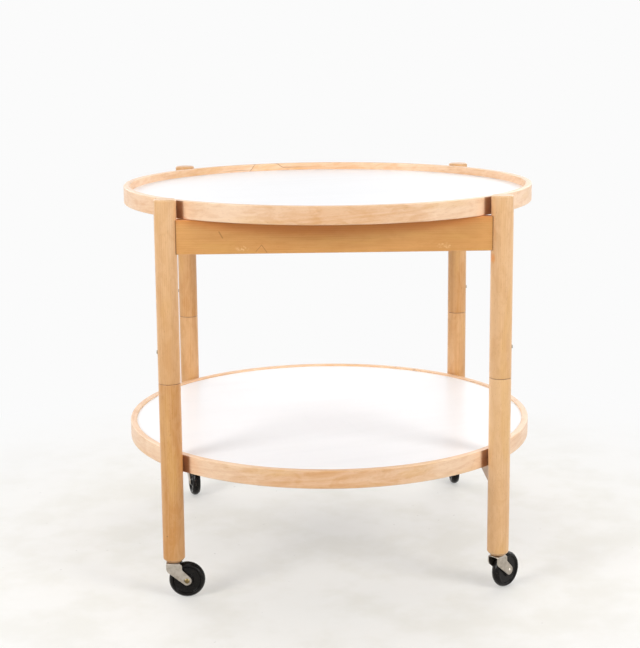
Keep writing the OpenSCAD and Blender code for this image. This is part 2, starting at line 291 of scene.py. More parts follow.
class Wire:
    """A node's output. Each operator on it adds a Math node, and so do these few methods."""

    __add__, __radd__ = operator("ADD"), operator("ADD", reflected=True)
    __sub__, __rsub__ = operator("SUBTRACT"), operator("SUBTRACT", reflected=True)
    __mul__, __rmul__ = operator("MULTIPLY"), operator("MULTIPLY", reflected=True)
    __truediv__, __pow__ = operator("DIVIDE"), operator("POWER")
    __abs__, sine, minimum = operator("ABSOLUTE"), operator("SINE"), operator("MINIMUM")

    def __init__(self, tree, socket):
        self.tree, self.socket = tree, socket

    def maths(self, operation, first, second, clamp=False):
        """One Math node on two values."""
        node = self.tree.nodes.new("ShaderNodeMath")
        node.operation = operation
        node.use_clamp = clamp
        feed(self.tree, node.inputs[0], first)
        feed(self.tree, node.inputs[1], second)
        return Wire(self.tree, node.outputs[0])

    def held(self):
        """The value held between 0 and 1."""
        return self.maths("ADD", self, 0.0, clamp=True)


# %% Nodes of one tree
class Nodes:
    """A node tree that is built up with one method for any node and a few short names."""

    def __init__(self, tree):
        self.tree = tree

    def node(self, kind, out=0, settings=None, **sockets):
        """Adds a node: first its settings, then the values of its sockets.

        A socket is named by its label with _ for a space, or by its number, as in n6."""
        node = self.tree.nodes.new("ShaderNode" + kind)
        for key, value in (settings or {}).items():
            setattr(node, key, value)
        for label, value in sockets.items():
            numbered = label[0] == "n" and label[1:].isdigit()
            key = int(label[1:]) if numbered else label.replace("_", " ")
            feed(self.tree, node.inputs[key], value)
        return Wire(self.tree, node.outputs[out])

    def axes(self, vector):
        """The three parts of a vector."""
        whole = self.node("SeparateXYZ", Vector=vector).socket.node
        return [Wire(self.tree, whole.outputs[k]) for k in range(3)]

    def vector(self, x, y, z):
        """A vector from three values."""
        return self.node("CombineXYZ", X=x, Y=y, Z=z)

    def scaled(self, vector, x, y, z):
        """A vector with each part multiplied by its own number."""
        return self.node("VectorMath", settings={"operation": "MULTIPLY"}, n0=vector, n1=(x, y, z))

    def noise(self, vector, scale=1.0, detail=2.0, roughness=0.5, distortion=0.0):
        """Soft noise from 0 to 1 about a middle of 0.5."""
        return self.node(
            "TexNoise", Vector=vector, Scale=scale, Detail=detail,
            Roughness=roughness, Distortion=distortion,
        )

    def ease(self, value, low, high):
        """0 below low, 1 above high, and a smooth step between them."""
        return self.node(
            "MapRange", settings={"interpolation_type": "SMOOTHSTEP"},
            Value=value, From_Min=low, From_Max=high,
        )

    def mix(self, first, second, share):
        """The first colour where share is 0 and the second where it is 1."""
        return self.node(
            "Mix", out=2, settings={"data_type": "RGBA"}, n0=share, n6=first, n7=second
        )

    def attribute(self, name):
        """A number that the mesh carries at its points."""
        return self.node("Attribute", out="Fac", settings={"attribute_name": name})

    def bump(self, height, strength, distance):
        """A normal that leans with the slope of height."""
        return self.node("Bump", Height=height, Strength=strength, Distance=distance)

    def spot(self, centre, size):
        """An egg-shaped spot, 1 in its middle: 1 less ((x - cx) / sx)^2 for each of the axes."""
        reach = 1.0
        for place, middle, half in zip(self.axes(self.place), centre, size):
            reach = reach - ((place - middle) / half) ** 2.0
        return reach.held()

    def scratch(self, across, up, start, stop, width):
        """1 on a straight line between two points of the plane (across, up) and 0 beside it.

        The point nearest to p is a + t (b - a), with t = (p - a) . (b - a) / |b - a|^2, held
        between 0 and 1."""
        run, rise = stop[0] - start[0], stop[1] - start[1]
        passed = (across - start[0]) * run + (up - start[1]) * rise
        t = (passed / (run * run + rise * rise)).held()
        off = ((across - start[0] - t * run) ** 2.0 + (up - start[1] - t * rise) ** 2.0) ** 0.5
        return 1 - self.ease(off, 0.5 * width, 1.3 * width)

    def shown(self):
        """1 for what the camera sees itself or in a reflection, and 0 for light on its way."""
        rays = ("Is Camera Ray", "Is Glossy Ray", "Is Transmission Ray")
        camera, glossy, through = [self.node("LightPath", out=ray) for ray in rays]
        return (camera + glossy + through).held()


# %% A finish under construction
class Finish(Nodes):
    """A material that starts as one Principled shader."""

    def __init__(self, name, **constants):
        self.material = bpy.data.materials.new(name)
        self.material.use_nodes = True
        super().__init__(self.material.node_tree)
        self.shader = self.tree.nodes["Principled BSDF"]
        for socket, value in constants.items():
            self.shader.inputs[socket.replace("_", " ")].default_value = value
        self.place = self.node("TexCoord", out="Object")

    def wear(self, **sockets):
        """Feeds the shader's own sockets and returns the finished material."""
        for socket, value in sockets.items():
            feed(self.tree, self.shader.inputs[socket.replace("_", " ")], value)
        print(f"{self.material.name}: {len(self.tree.nodes)} nodes")
        return self.material


# %% Write colours as a screen shows them
def colour(red, green, blue):
    """The shader's linear colour for the values from 0 to 255 that a screen shows.

    A share c is c / 12.92 up to 0.04045, and ((c + 0.055) / 1.055)^2.4 above it."""
    share = np.array([red, green, blue]) / 255
    linear = np.where(share <= 0.04045, share / 12.92, ((share + 0.055) / 1.055) ** 2.4)
    return (*linear.tolist(), 1.0)


# %% [markdown]
# ## Beech
# Beech is a pale pinkish to honey brown wood. Up close it has three layers: broad drifts of tone,
# faint growth lines, and the short dark dashes of its rays. A picture of wood could be wrapped
# round each piece, but its seams would show. Here the grain is a solid pattern: the growth lines
# are rings about a far pith, so the side of a leg shows lines and its top shows arcs.

# %% Build a beech finish
PITH = (0.05, -0.09)
RING_WIDTH, RING_WOBBLE = 0.0024, 0.016
HONEY, RAY_BROWN = colour(228, 178, 100), colour(158, 98, 52)
FIBRE_TAN, RUBBED_PALE = colour(214, 156, 98), colour(242, 210, 166)


def beech(name, grain, pale, deep, middle=0.4, flame=0.2, marked=0.22, tilt=0.0):
    """Lacquered beech with its grain along one axis, or along the piece's own u coordinate.

    The tone runs from pale at 0 to deep at 1, about middle, which is a number or the name of a
    value that the mesh carries. flame is the strength of the soft patches in the grain, and marked
    that of the rays. The growth lines are sin(2 pi d / ring) of the distance d to the pith."""
    wood = Finish(name, Coat_Weight=0.12, Coat_Roughness=0.22, IOR=1.46)
    x, y, z = wood.axes(wood.place)
    if grain == "U":
        u, v, _ = wood.axes(wood.node("UVMap", settings={"uv_map": "along"}))
        along = u * math.cos(tilt) + v * math.sin(tilt)
        side = v * math.cos(tilt) - u * math.sin(tilt)
        other = (x * x + y * y) ** 0.5
    else:
        side, other, along = {"X": (y, z, x), "Y": (x, z, y), "Z": (x, y, z)}[grain]
    fibre_space = wood.vector(side, other, along)

    def figure(across, lengthwise, **kind):
        """Noise with one scale across the grain and another along it."""
        return wood.noise(wood.scaled(fibre_space, across, across, lengthwise), **kind)

    drift = figure(22, 3.2, detail=3)
    wobble = figure(30, 2.6)
    pith_distance = ((side - PITH[0]) ** 2.0 + (other - PITH[1]) ** 2.0) ** 0.5
    turns = (pith_distance + RING_WOBBLE * wobble) * (2 * math.pi / RING_WIDTH)
    rings = (turns.sine() * 0.5 + 0.5) ** 2.2
    patches = figure(85, 30, detail=4, roughness=0.55, distortion=1.0)
    streaks = figure(420, 9, detail=4, roughness=0.62)
    fibres = figure(1500, 42)
    rays = wood.ease(figure(1150, 190, detail=1), 0.63, 0.72)
    rubbed = wood.attribute("edge")

    if isinstance(middle, str):
        middle = wood.attribute(middle)
    tone = middle + 0.95 * (drift - 0.5) + 0.13 * (rings - 0.35) + 0.36 * (streaks - 0.5)
    tone = (tone + flame * (wood.ease(patches, 0.38, 0.66) - 0.45)).held()
    base = wood.mix(pale, deep, tone)
    base = wood.mix(base, HONEY, 0.30 * wood.ease(figure(34, 7.5, detail=3), 0.52, 0.70))
    base = wood.mix(base, RAY_BROWN, marked * rays)
    base = wood.mix(base, FIBRE_TAN, 0.20 * wood.ease(fibres, 0.55, 0.75))
    base = wood.mix(base, RUBBED_PALE, 0.25 * rubbed)
    rough = 0.36 + 0.16 * (streaks - 0.5) + 0.10 * rays - 0.08 * rubbed + 0.10 * (drift - 0.5)
    height = 0.5 * fibres + 0.6 * streaks - 0.5 * rays
    return wood, base, rough, height


def lacquered(wood, base, rough, height):
    """Closes a beech finish: the grain can be felt a little through the lacquer."""
    return wood.wear(Base_Color=base, Roughness=rough, Normal=wood.bump(height, 0.22, 0.00025))


# %% Finish the legs
# The legs carry their own tone, and grime has settled in the joint between their halves. One has
# a nick near its foot and one an orange fleck in its side.
SPLIT_HEIGHT = float(node_box("upper_leg_front_left")[0][2])
NICK = (-0.2518, -0.2591, 0.0992), (0.0022, 0.004, 0.0016)
FLECK = (0.2286, -0.2500, 0.5090), (0.0036, 0.020, 0.0085)
wood, base, rough, height = beech(
    "leg_beech", "Z", colour(236, 193, 145), colour(203, 143, 78), "tone"
)
_, _, z = wood.axes(wood.place)
grime = 1 - wood.ease(abs(z - SPLIT_HEIGHT), 0.0003, 0.0010)
base = wood.mix(base, colour(132, 76, 34), 0.55 * grime)
nick = wood.spot(*NICK)
fleck = wood.spot(*FLECK)
base = wood.mix(base, colour(228, 146, 70), 0.8 * fleck)
base = wood.mix(base, colour(112, 66, 34), 0.8 * nick)
leg_finish = lacquered(wood, base, rough, height - 2.0 * nick)

# %% Finish the rails
# The front rail has been knocked: a nick, a wedge of fine scratches and some pale bruises. Under
# the overhanging rim a deeper orange tone is painted in as the rim's shadow; its border is the
# curve z = h + 0.4 x^2. Where the rails meet the legs, a dark line is painted in as the shade in
# the crevice between them.
RAIL_TONES = colour(231, 175, 110), colour(198, 133, 60)
RAIL_GRAIN = {"middle": 0.45, "flame": 0.12, "marked": 0.10}
RAIL_HALF = 0.008
RAIL_END = float(leg_reach - math.sqrt(leg_radius**2 - RAIL_HALF**2))
SCRATCHES = (
    ((-0.1661, 0.5526), (-0.1612, 0.5438), 0.0009),
    ((-0.1055, 0.5329), (-0.1136, 0.5236), 0.0005),
    ((-0.1055, 0.5329), (-0.0978, 0.5219), 0.0006),
)
BRUISES = (
    ((-0.1336, -0.251, 0.5282), (0.011, 0.004, 0.005)),
    ((0.1590, -0.251, 0.5286), (0.013, 0.004, 0.005)),
)


def end_shade_line(wood, base, along):
    """The colour with a dark line of painted shade where a rail runs into its leg."""
    line = wood.ease(abs(along), RAIL_END - 0.0022, RAIL_END - 0.0004)
    return wood.mix(base, colour(110, 66, 34), 0.7 * line)


wood, base, rough, height = beech("front_rail_beech", "X", *RAIL_TONES, **RAIL_GRAIN)
x, y, z = wood.axes(wood.place)
in_front = 1 - wood.ease(y, -0.2, 0.0)
scratched = sum(wood.scratch(x, z, *line) for line in SCRATCHES).held() * in_front
bruises = sum(wood.spot(*bruise) for bruise in BRUISES)
bruises = bruises * wood.ease(wood.noise(wood.place, scale=420, detail=2), 0.48, 0.62)
# Painted shadow of the overhanging rim: a deeper orange tone over the rail's upper middle.
painted_rim_shadow = wood.ease(z - 0.4 * (x * x), 0.5385, 0.5560) * in_front
base = wood.mix(base, colour(218, 112, 16), 0.46 * painted_rim_shadow)
base = wood.mix(base, colour(244, 204, 150), 0.75 * bruises)
base = wood.mix(base, colour(138, 84, 38), 0.45 * scratched)
base = end_shade_line(wood, base, x)
front_rail_finish = lacquered(wood, base, rough, height - 1.5 * scratched)

wood, base, rough, height = beech("side_rail_beech", "Y", *RAIL_TONES, **RAIL_GRAIN)
base = end_shade_line(wood, base, wood.axes(wood.place)[1])
side_rail_finish = lacquered(wood, base, rough, height)

# %% [markdown]
# ## The trays' rims
# Each rim is a strip of beech bent into a hoop, glued end over end in a long scarf, and grooved
# inside to hold the board. A plain lathe would do for its shape, but the grain has to run round
# the hoop, so the piece carries its own u and v: the length round the hoop and across the strip.
# It begins and ends where the scarf's tip shows as a dark S, because the grain breaks off there.

# %% Shape the strip and its scarf
RIM_EASE = 0.0013
ROUND = 2 * math.pi * tray_radius
SCARF_ANGLE = {"top_tray": math.radians(113.2), "lower_tray": math.radians(66)}
SCARF_TIP = 0.0139


def hoop(name, outline, edge, board_top, scarf_angle, steps=288):
    """A bent strip: an outline of (radius, height) carried once round, starting on an S.

    With h the share of the way up the face, the hoop starts at the length -(w / pi) asin(2 h - 1)
    beside the scarf's angle, w being the width of the S. u is the length since the start at the
    outer radius, and v is the length along the outline."""
    share = np.linspace(0, 1, steps + 1)[:, None]
    radius, height = outline.T
    foot = np.where(radius < tray_radius - rim_thickness / 2, board_top, height.min())
    up = np.clip((height - foot) / (height.max() - foot), 0, 1)
    start = scarf_angle - SCARF_TIP / math.pi * np.arcsin(2 * up - 1) / tray_radius
    angle = start + 2 * math.pi * share
    points = grid(radius * np.cos(angle), radius * np.sin(angle), height)
    closed = np.vstack([outline, outline[:1]])
    along = np.concatenate([[0], np.cumsum(np.linalg.norm(np.diff(closed, axis=0), axis=1))])
    return surface(name, points[:-1], edge, uv=grid(ROUND * share, along), wrap_rows=True)


def rim_outline(tray):
    """The rim's section as (radius, height), with a groove for the edge of the board's core."""
    low, high = node_box(tray + "_rim")
    core_low, core_high = node_box(tray + "_core")
    inner = tray_radius - rim_thickness
    depth = core_high[0] + HAIR_GAP
    upper, lower = core_high[2] + HAIR_GAP, core_low[2] - HAIR_GAP
    corners = [
        (inner, low[2]), (tray_radius, low[2]), (tray_radius, high[2]), (inner, high[2]),
        (inner, upper), (depth, upper), (depth, lower), (inner, lower),
    ]
    return eased(corners, [RIM_EASE] * 4 + [0.0, 0.0, 0.0, 0.0])


# %% Finish the rims
# The glue shows as a dark line: along the S, then low on the inner face to one side of it, and
# from the strip's other tip down and along the face on the other side. The inner face starts
# after the strip's bottom, outer side and top, less what the eased corners cut off.
EASED_OFF = 0.0018
LOW_LINE_DROP = 0.0106
rim_low, rim_high = node_box("top_tray_rim")
inner_start = 2 * rim_thickness + float(rim_high[2] - rim_low[2]) - EASED_OFF

wood, base, rough, height = beech(
    "rim_beech", "U", colour(248, 214, 181), colour(217, 160, 104), "tone",
    flame=0.30, marked=0.16, tilt=math.radians(4),
)
u, v, _ = wood.axes(wood.node("UVMap", settings={"uv_map": "along"}))
below_top = v - inner_start
back_from_tip = ROUND - u
tip = 1 - wood.ease(u.minimum(back_from_tip), 0.0003, 0.0010)
low_line = 1 - wood.ease(abs(below_top - LOW_LINE_DROP), 0.0002, 0.0009)
low_line = low_line * (1 - wood.ease(u, 0.02, 0.075))
fall = 0.0012 + 0.0072 * wood.ease(back_from_tip, 0.041, 0.064)
far_line = 1 - wood.ease(abs(below_top - fall), 0.0002, 0.0009)
far_line = far_line * wood.ease(back_from_tip, 0.036, 0.042)
far_line = far_line * (1 - wood.ease(back_from_tip, 0.07, 0.15))
inner_face = wood.ease(v, inner_start - 0.0005, inner_start)
glue = (0.9 * tip + inner_face * (0.7 * low_line + 0.7 * far_line)).held()
base = wood.mix(base, colour(128, 70, 36), 0.8 * glue)

# Painted shadow of the legs: beside each leg the rim's outer side is darkened to a deep brown.
x, y, _ = wood.axes(wood.place)
from_leg = ((abs(x) - leg_reach) ** 2.0 + (abs(y) - leg_reach) ** 2.0) ** 0.5
outer_side = wood.ease((x * x + y * y) ** 0.5, tray_radius - 0.0010, tray_radius - 0.0002)
painted_leg_shadow = outer_side * (1 - wood.ease(from_leg, 0.0245, 0.0280))
base = wood.mix(base, colour(146, 70, 20), 0.6 * painted_leg_shadow)
rim_finish = lacquered(wood, base, rough, height - 0.8 * glue)

# %% Bend a rim for each tray
# A rim's tone goes by how far forward a place lies, from the middle at 0 to the front at 1.
RIM_GAP = 0.0018
FORWARD = (0.0, 0.65, 0.88, 1.0)
RIM_TONE = {"top_tray": (0.42, 0.12, 0.06, 0.58), "lower_tray": (0.42, 0.12, 0.06, 0.74)}
for tray, tones in RIM_TONE.items():
    outline, edge = densified(*rim_outline(tray), RIM_GAP)
    board_top = node_box(tray + "_laminate_up")[1][2]
    rim = hoop(tray + "_rim_bent", outline, edge, board_top, SCARF_ANGLE[tray])
    spread(rim, "tone", lambda place: np.interp(-place[:, 1] / tray_radius, FORWARD, tones))
    stand_for(rim, tray + "_rim", rim_finish)

# %% [markdown]
# ## The legs
# A leg is a round bar in two halves. The foot has a generous bevel over the caster, the top a
# small one, and the joint between the halves a hairline one. The halves are turned again from the
# nodes' heights, with rounder edges and the bores that the pin and the sleeve need.

# %% Describe the leg halves
PIN_BORE = 0.00608
SLEEVE_BORE, FLANGE_BORE, FLANGE_DEPTH = 0.0056, 0.0086, 0.00125
FOOT_BEVEL, TOP_BEVEL, SPLIT_BEVEL = 0.005, 0.0015, 0.0006
UPPER_EASE = [0, 0.0003, 0.0003, 0.0007, 0.0007, 0, 0, 0]
LOWER_EASE = [0, 0.0012, 0.0016, 0.0003, 0.0003, 0, 0, 0, 0, 0, 0, 0]
LEG_GAP = 0.02
UPPER_TONE = {"front_left": 0.28, "front_right": 0.16, "back_left": 0.60, "back_right": 0.55}
LOWER_TONE = {"front_left": 0.74, "front_right": 0.10, "back_left": 0.62, "back_right": 0.55}


def deeper_below(tone, more, height, over):
    """A tone that deepens below a height: tone + more * (height - z) / over, held after over."""
    return lambda place: tone + more * np.clip((height - place[:, 2]) / over, 0, 1)


def leg_half(half, c, corners, cut, tone):
    """Turns one half of a leg about the leg's axis and puts it in its node's place."""
    outline, edge = eased(corners, cut)
    piece = turned(half + "_turned_" + c, *densified(outline, edge, LEG_GAP), leg_axis[c])
    spread(piece, "tone", tone)
    stand_for(piece, half + "_" + c, leg_finish)


# %% Turn the leg halves
for c in CORNERS:
    bottom, top = (corner[2] for corner in node_box("upper_leg_" + c))
    pin_top = node_box("pivot_pin_" + c)[1][2] + HAIR_GAP
    leg_half("upper_leg", c, [
        (PIN_BORE, bottom), (leg_radius - SPLIT_BEVEL, bottom), (leg_radius, bottom + SPLIT_BEVEL),
        (leg_radius, top - TOP_BEVEL), (leg_radius - TOP_BEVEL, top), (0.0, top),
        (0.0, pin_top), (PIN_BORE, pin_top),
    ], UPPER_EASE, deeper_below(UPPER_TONE[c], 0.22, 0.5, 0.17))

    bottom, top = (corner[2] for corner in node_box("lower_leg_" + c))
    pin_low = node_box("pivot_pin_" + c)[0][2] - HAIR_GAP
    sleeve_top = node_box("caster_sleeve_" + c)[1][2] + HAIR_GAP
    flange_top = bottom + FLANGE_DEPTH
    leg_half("lower_leg", c, [
        (FLANGE_BORE, bottom), (leg_radius - FOOT_BEVEL, bottom),
        (leg_radius, bottom + FOOT_BEVEL), (leg_radius, top - SPLIT_BEVEL),
        (leg_radius - SPLIT_BEVEL, top), (PIN_BORE, top),
        (PIN_BORE, pin_low), (0.0, pin_low), (0.0, sleeve_top), (SLEEVE_BORE, sleeve_top),
        (SLEEVE_BORE, flange_top), (FLANGE_BORE, flange_top),
    ], LOWER_EASE, deeper_below(LOWER_TONE[c], 0.18, 0.3, 0.2))

# %% [markdown]
# ## The rails
# The rails are straight boards scribed to the round legs at both ends. Each is an outline
# carried along its length. It ends on the leg's circle and then shrinks to a line in the middle.

# %% Carry a rail's outline from leg to leg
RAIL_EASE, RAIL_GAP = 0.0011, 0.006
SCRIBE_GAP = 0.00015
STATIONS = 40
SHRINK = np.array([0.0, 0.3, 0.6, 0.85])


def rail(low, high, across):
    """A board along x whose ends meet the round legs at +leg_reach and -leg_reach.

    A point (y, z) of the outline ends at x = leg_reach - sqrt(R^2 - y^2), R being the leg's
    radius and its gap. The end faces are the outline shrunk to its middle on the same curve."""
    half_t, middle_z = across / 2, (low + high) / 2
    corners = [(-half_t, low), (half_t, low), (half_t, high), (-half_t, high)]
    outline, edge = densified(*eased(corners, RAIL_EASE), RAIL_GAP)
    ends = np.ones(len(SHRINK))
    station = np.concatenate([-ends, np.linspace(-1, 1, STATIONS), ends])[:, None]
    size = np.concatenate([SHRINK, np.ones(STATIONS), SHRINK[::-1]])[:, None]
    y = outline[:, 0] * size
    z = middle_z + (outline[:, 1] - middle_z) * size
    end = leg_reach - np.sqrt((leg_radius + SCRIBE_GAP) ** 2 - y**2)
    return grid(station * end, y, z), edge * (size == 1)


# %% Fit the four rails
for node, finish in (
    ("upper_rail_front", front_rail_finish), ("upper_rail_back", front_rail_finish),
    ("lower_rail_left", side_rail_finish), ("lower_rail_right", side_rail_finish),
):
    low, high = node_box(node)
    across = 1 if node.startswith("upper") else 0
    points, edge = rail(float(low[2]), float(high[2]), float((high - low)[across]))
    if across == 0:
        points = points[..., [1, 0, 2]]
    points[..., across] += node_centre(node)[across]
    stand_for(surface(node + "_scribed", points, edge), node, finish)

# %% [markdown]
# ## White laminate
# The boards are faced with a hard white laminate. It is almost even, with faint grey wipe marks
# and a few hair scratches that show only in the gloss.

# %% Finish the boards
laminate = Finish("white_laminate_worn", Coat_Weight=0.15, Coat_Roughness=0.12, IOR=1.5)
x, y, z = laminate.axes(laminate.place)
turned_place = laminate.vector(x * 0.94 + y * 0.34, y * 0.94 - x * 0.34, z)
wipes = laminate.noise(laminate.scaled(turned_place, 3.0, 26.0, 3.0), detail=4, roughness=0.6)
specks = laminate.ease(laminate.noise(laminate.place, scale=900, detail=1), 0.74, 0.8)
hairs = laminate.noise(laminate.scaled(turned_place, 16.0, 5.0, 8.0), detail=3, distortion=1.2)
hairs = 1 - laminate.ease(abs(hairs - 0.5), 0.0, 0.006)
grain = laminate.noise(laminate.place, scale=2600, detail=2)
greyed = 0.22 * laminate.ease(wipes, 0.42, 0.75) + 0.10 * hairs
white = laminate.mix(colour(249, 249, 251), colour(236, 237, 239), greyed)
white = laminate.mix(white, colour(196, 190, 180), 0.5 * specks)
laminate_finish = laminate.wear(
    Base_Color=white,
    Roughness=0.30 + 0.14 * wipes + 0.12 * hairs,
    Normal=laminate.bump(0.4 * grain - 0.5 * hairs, 0.08, 0.0001),
)

# %% [markdown]
# ## Metal and moulded plastic
# The casters' forks are zinc plated sheet that has gone dull: grey, a little blotchy, with fine
# scratches. The rivets have yellowed, and the wheels are black plastic that picks up dust where it
# rolls. Each metal is the same finish with its own tint and roughness.


# %% Build a dull metal
def dull_metal(name, clean, stained, roughness):
    """Plated metal with blotches and fine scratches along the object's own axes."""
    metal = Finish(name, Metallic=1.0)
    blotches = metal.noise(metal.place, scale=160, detail=4, roughness=0.6)
    fine = metal.noise(metal.scaled(metal.place, 700, 700, 2600), detail=3, distortion=0.4)
    pits = metal.ease(metal.noise(metal.place, scale=1500, detail=1), 0.66, 0.76)
    base = metal.mix(clean, stained, metal.ease(blotches, 0.38, 0.72))
    base = metal.mix(base, colour(92, 84, 72), 0.4 * pits)
    return metal.wear(
        Base_Color=base,
        Roughness=roughness + 0.18 * (blotches - 0.5) + 0.16 * (fine - 0.5) + 0.15 * pits,
        Normal=metal.bump(fine - pits, 0.12, 0.0001),
    )


# %% Finish the metals
zinc_finish = dull_metal("dull_zinc", colour(186, 178, 167), colour(160, 151, 139), 0.36)
steel_finish = dull_metal("turned_steel", colour(205, 205, 205), colour(170, 168, 164), 0.30)
rivet_finish = dull_metal("yellowed_rivet", colour(140, 122, 82), colour(92, 76, 48), 0.36)
screw_finish = dull_metal("dull_screw", colour(176, 168, 150), colour(128, 118, 98), 0.42)

# %% Finish the wheels' plastic
plastic = Finish("black_wheel_plastic", Specular_IOR_Level=0.16, IOR=1.5)
scuffs = plastic.noise(plastic.place, scale=260, detail=5, roughness=0.65)
dust = plastic.ease(scuffs, 0.52, 0.80) * plastic.attribute("tread")
black = plastic.mix(colour(15, 13, 12), colour(26, 23, 20), plastic.ease(scuffs, 0.4, 0.7))
black = plastic.mix(black, colour(104, 96, 86), 0.45 * dust)
wheel_finish = plastic.wear(
    Base_Color=black,
    Roughness=0.20 + 0.22 * (scuffs - 0.4) + 0.3 * dust,
    Normal=plastic.bump(plastic.noise(plastic.place, scale=1800, detail=3), 0.1, 0.0001),
)

# %% [markdown]
# ## The casters
# A caster is a fork pressed from one strip of sheet, folded down on both sides of the wheel, and a
# moulded wheel on a riveted axle. Each piece is worked out about the swivel axis, with the wheel
# trailing along +x, and is then turned to the direction in which its caster happens to point.

# %% Read how the casters stand
WHEEL_RADIUS = float(node_box("caster_wheel_front_left")[1][2]) / 2


def caster_turn(c):
    """The direction from a caster's swivel axis to its wheel, and the distance between them."""
    away = node_centre("caster_axle_" + c)[:2] - leg_axis[c]
    return math.atan2(away[1], away[0]), float(np.hypot(*away))


def under_leg(points, c):
    """Points about the swivel axis, turned to the caster's direction and moved under its leg.

    The place is (ax + x cos a - y sin a, ay + x sin a + y cos a, z), a being the direction."""
    angle, _ = caster_turn(c)
    x, y, z = np.moveaxis(points, -1, 0)
    return grid(
        leg_axis[c][0] + x * math.cos(angle) - y * math.sin(angle),
        leg_axis[c][1] + x * math.sin(angle) + y * math.cos(angle), z,
    )


def spun_on_axle(name, c, half_outline, half_cut, gap, steps):
    """A piece spun about a caster's axle: (trail + r sin t, w, R + r cos t) for each (r, w).

    The outline is given for the side where w is above 0, and its mirrored side comes first."""
    corners = [(radius, -width) for radius, width in half_outline] + half_outline[::-1]
    outline, edge = densified(*eased(corners, half_cut + half_cut[::-1]), gap)
    angle = full_turn(steps)
    radius, width = outline.T
    x, z = caster_turn(c)[1] + radius * np.sin(angle), WHEEL_RADIUS + radius * np.cos(angle)
    return surface(name + c, under_leg(grid(x, width, z), c), edge, wrap_rows=True)


for c in CORNERS:
    turn, trail = caster_turn(c)
    print(c, "points", round(math.degrees(turn), 1), "degrees, its wheel trails", round(trail, 4))

# %% Mould the wheels
# From the bore outwards: the hub, the sunk face, the ring and the tread's rounded shoulder.
BORE, CROWN = 0.00258, 0.0026
HALF_HUB, HALF_FACE, HALF_TREAD = 0.0075, 0.0044, 0.0070
HUB_RADIUS, FACE_START, FACE_STOP, RING_RADIUS, SHOULDER = 0.0089, 0.0104, 0.0196, 0.0212, 0.0236
TREAD_START, TREAD_FADE = 0.0245, 0.0020
HALF_WHEEL = [
    (BORE, HALF_HUB), (HUB_RADIUS, HALF_HUB), (FACE_START, HALF_FACE), (FACE_STOP, HALF_FACE),
    (RING_RADIUS, HALF_TREAD), (SHOULDER, HALF_TREAD), (WHEEL_RADIUS, CROWN),
]
WHEEL_EASE = [0, 5e-4, 6e-4, 8e-4, 6e-4, 9e-4, 22e-4]
for c in CORNERS:
    wheel = spun_on_axle("caster_wheel_moulded_", c, HALF_WHEEL, WHEEL_EASE, 0.003, 96)
    centre = node_centre("caster_wheel_" + c)
    spread(wheel, "tread", lambda place: np.clip(
        (np.linalg.norm(place - centre, axis=1) - TREAD_START) / TREAD_FADE, 0, 1
    ))
    stand_for(wheel, "caster_wheel_" + c, wheel_finish)

# %% Dome the riveted axles
FORK_OUTER = 0.00925
AXLE_RADIUS, RIVET_RADIUS, DOME_RADIUS = 0.0025, 0.0040, 0.0026
DOME_RISE, DOME_EDGE_RISE = 0.0014, 0.0013
HALF_AXLE = [
    (0.0, FORK_OUTER + DOME_RISE), (DOME_RADIUS, FORK_OUTER + DOME_EDGE_RISE),
    (RIVET_RADIUS, FORK_OUTER + HAIR_GAP), (AXLE_RADIUS, FORK_OUTER + HAIR_GAP),
]
AXLE_EASE = [0, 9e-4, 2e-4, 0]
for c in CORNERS:
    axle = spun_on_axle("caster_axle_domed_", c, HALF_AXLE, AXLE_EASE, 1.0, 40)
    finish = rivet_finish if c == "front_left" else zinc_finish
    stand_for(axle, "caster_axle_" + c, finish)

# %% [markdown]
# The fork is a strip that runs up one cheek, over the bridge and down the other. A section across
# it is a thin rounded bar. Its middle follows the folded line, and its ends follow the cheek's
# outline: how far forward and back that reaches at each height. A point of the section is told by
# its end (0 forward, 1 back), by how far in from there it lies and by its height, in shares of the
# eased edge and of half the sheet.

# %% Draw the fork's section and its cheek
FORK_TOP, FORK_SHEET, FORK_GAP = 0.055, 0.0015, 0.0155
CHEEK_EASE = 0.0006
FORK_SECTION = np.array([
    (0, 0, -0.45), (0, 0, 0.45), (0, 0.35, 0.88), (0, 1, 1),
    (1, -1, 1), (1, -0.35, 0.88), (1, 0, 0.45), (1, 0, -0.45),
    (1, -0.35, -0.88), (1, -1, -1), (0, 1, -1), (0, 0.35, -0.88),
])
CHEEK_HALF, CORNER_RADIUS, CORNER_RISE, END_RADIUS = 0.0118, 0.010, 0.002, 0.007
BACK_HEIGHT, BRIDGE_BACK, FOLD_RADIUS = 0.011, 0.008, 0.0018
NO_WIDTH = 1e-7


def cheek_reach(height, trail):
    """How far a cheek reaches forward and back at each height.

    Each edge is a straight root, a tangent line and a round end, and the front one has an arc at
    its corner too. The edges are tabulated and read at the heights."""
    axle = np.array([trail, WHEEL_RADIUS])
    corner = np.array([CORNER_RADIUS - CHEEK_HALF, FORK_TOP - CORNER_RADIUS + CORNER_RISE])
    waist = np.array([CHEEK_HALF, FORK_TOP - BACK_HEIGHT])

    def tangent(start, stop, radius):
        """The direction from a circle's centre to where a line to another circle touches it."""
        away = stop - start
        return math.atan2(away[1], away[0]) - math.acos(radius / np.hypot(*away))

    lower = tangent(corner, axle, CORNER_RADIUS - END_RADIUS)
    upper = tangent(axle, waist, END_RADIUS)

    def arc(centre, radius, start, stop):
        """Points on a circle from one angle to another."""
        angle = np.linspace(start, stop, 24)[:, None]
        return centre + radius * np.hstack([np.cos(angle), np.sin(angle)])

    front = np.vstack([
        arc(axle, END_RADIUS, -math.pi / 2, lower), arc(corner, CORNER_RADIUS, lower, -math.pi)
    ])
    back = np.vstack([arc(axle, END_RADIUS, -math.pi / 2, upper), waist[None, :]])
    return np.interp(height, front[:, 1], front[:, 0]), np.interp(height, back[:, 1], back[:, 0])


